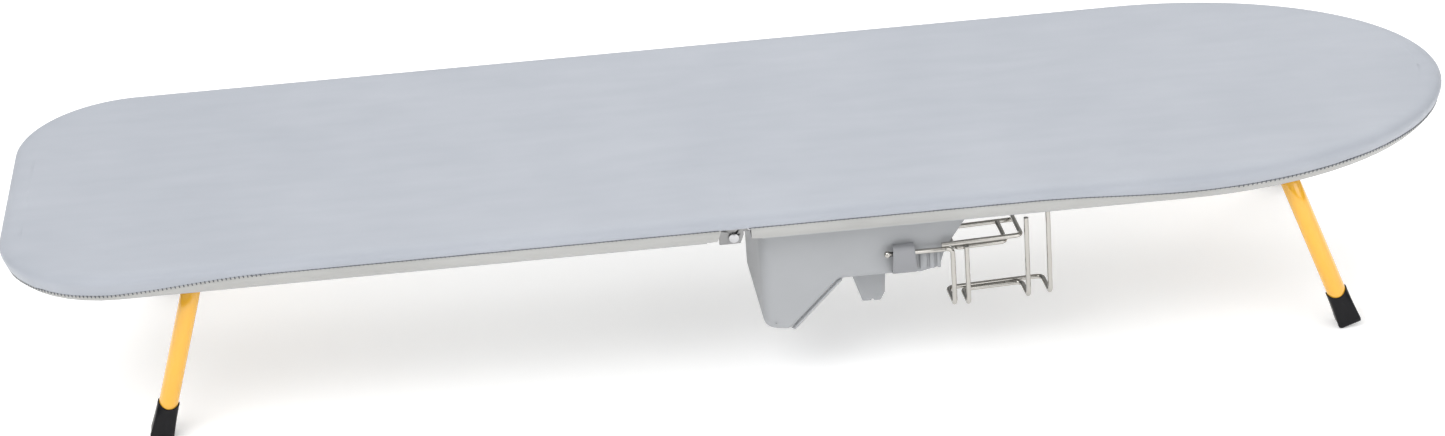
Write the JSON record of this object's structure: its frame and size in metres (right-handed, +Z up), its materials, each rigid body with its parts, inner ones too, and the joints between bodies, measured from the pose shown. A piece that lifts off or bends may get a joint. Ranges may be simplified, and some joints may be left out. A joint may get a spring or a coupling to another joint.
{
  "type": "folding ironing board",
  "caption": "Low padded board that folds in half over itself, on two folding leg frames, with an underside holster and a wire rack.",
  "frame": {"origin": "on the table plane, under the middle of the board's box", "axes": "+X along the board to the rounded nose, +Y to the back, +Z up"},
  "size_m": [1.2, 0.362, 0.167],
  "materials": {
    "cover_cloth": "silver-coated woven cotton",
    "band_cloth": "plain woven side band",
    "pad_foam": "soft felt and foam",
    "mesh_steel": "powder-coated expanded steel",
    "frame_paint": "satin powder coat",
    "hinge_metal": "dark zinc-plated steel",
    "rivet_metal": "bright plated rivet",
    "leg_paint": "gloss yellow enamel",
    "foot_rubber": "moulded black rubber",
    "holster_plastic": "fine matte grey moulding",
    "sleeve_plastic": "matte grey moulding",
    "rack_chrome": "bright chrome wire"
  },
  "bodies": {
    "tail_half": {"tail_rim": "frame_paint", "tail_fold_rail": "frame_paint", "tail_mesh": "mesh_steel", "tail_leg_brace": "frame_paint", "tail_middle_brace": "frame_paint", "tail_pad": "pad_foam", "tail_cover_top": "cover_cloth", "tail_cover_band": "band_cloth", "tail_hinge_plate_front": "hinge_metal", "tail_hinge_plate_back": "hinge_metal", "tail_fold_pin_front": "rivet_metal", "tail_fold_pin_back": "rivet_metal", "tail_leg_bracket_front": "hinge_metal", "tail_leg_bracket_back": "hinge_metal"},
    "fold_link": {"link_plate_front": "hinge_metal", "link_plate_back": "hinge_metal", "link_tie_rod": "rivet_metal"},
    "nose_half": {"nose_rim": "frame_paint", "nose_fold_rail": "frame_paint", "nose_mesh": "mesh_steel", "nose_leg_brace": "frame_paint", "nose_holster_brace_inner": "frame_paint", "nose_holster_brace_outer": "frame_paint", "nose_pad": "pad_foam", "nose_cover_top": "cover_cloth", "nose_cover_band": "band_cloth", "nose_hinge_plate_front": "hinge_metal", "nose_hinge_plate_back": "hinge_metal", "nose_fold_pin_front": "rivet_metal", "nose_fold_pin_back": "rivet_metal", "nose_leg_bracket_front": "hinge_metal", "nose_leg_bracket_back": "hinge_metal", "holster_tub": "holster_plastic", "holster_lip": "holster_plastic", "holster_ribs": "holster_plastic", "holster_cord_hook": "holster_plastic", "holster_screws": "rivet_metal", "rack_sleeve": "sleeve_plastic"},
    "tail_leg": {"tail_leg_frame": "leg_paint", "tail_leg_stops": "leg_paint", "tail_foot_front": "foot_rubber", "tail_foot_back": "foot_rubber"},
    "nose_leg": {"nose_leg_frame": "leg_paint", "nose_leg_stops": "leg_paint", "nose_foot_front": "foot_rubber", "nose_foot_back": "foot_rubber"},
    "rack": {"rack_hinge_wire": "rack_chrome", "rack_outer_loop": "rack_chrome", "rack_inner_loop": "rack_chrome", "rack_shelf_wire": "rack_chrome", "rack_front_rail": "rack_chrome"}
  },
  "joints": [
    {"name": "fold_inner", "type": "hinge", "parent": "tail_half", "child": "fold_link", "pos_m": [-0.0235, 0, 0.154], "axis": [0, -1, 0], "range_deg": [0, 90]},
    {"name": "fold_outer", "type": "hinge", "parent": "fold_link", "child": "nose_half", "pos_m": [0.0045, 0, 0.154], "axis": [0, -1, 0], "range_deg": [0, 90]},
    {"name": "tail_leg_fold", "type": "hinge", "parent": "tail_half", "child": "tail_leg", "pos_m": [-0.441, 0, 0.147], "axis": [0, -1, 0], "range_deg": [0, 105]},
    {"name": "nose_leg_fold", "type": "hinge", "parent": "nose_half", "child": "nose_leg", "pos_m": [0.441, 0, 0.147], "axis": [0, 1, 0], "range_deg": [0, 108]},
    {"name": "rack_swing", "type": "hinge", "parent": "nose_half", "child": "rack", "pos_m": [0.14, -0.1625, 0.1138], "axis": [-1, 0, 0], "range_deg": [0, 95]}
  ],
  "couplings": [
    {"joint": "fold_outer", "follows": "fold_inner", "ratio": 1}
  ]
}
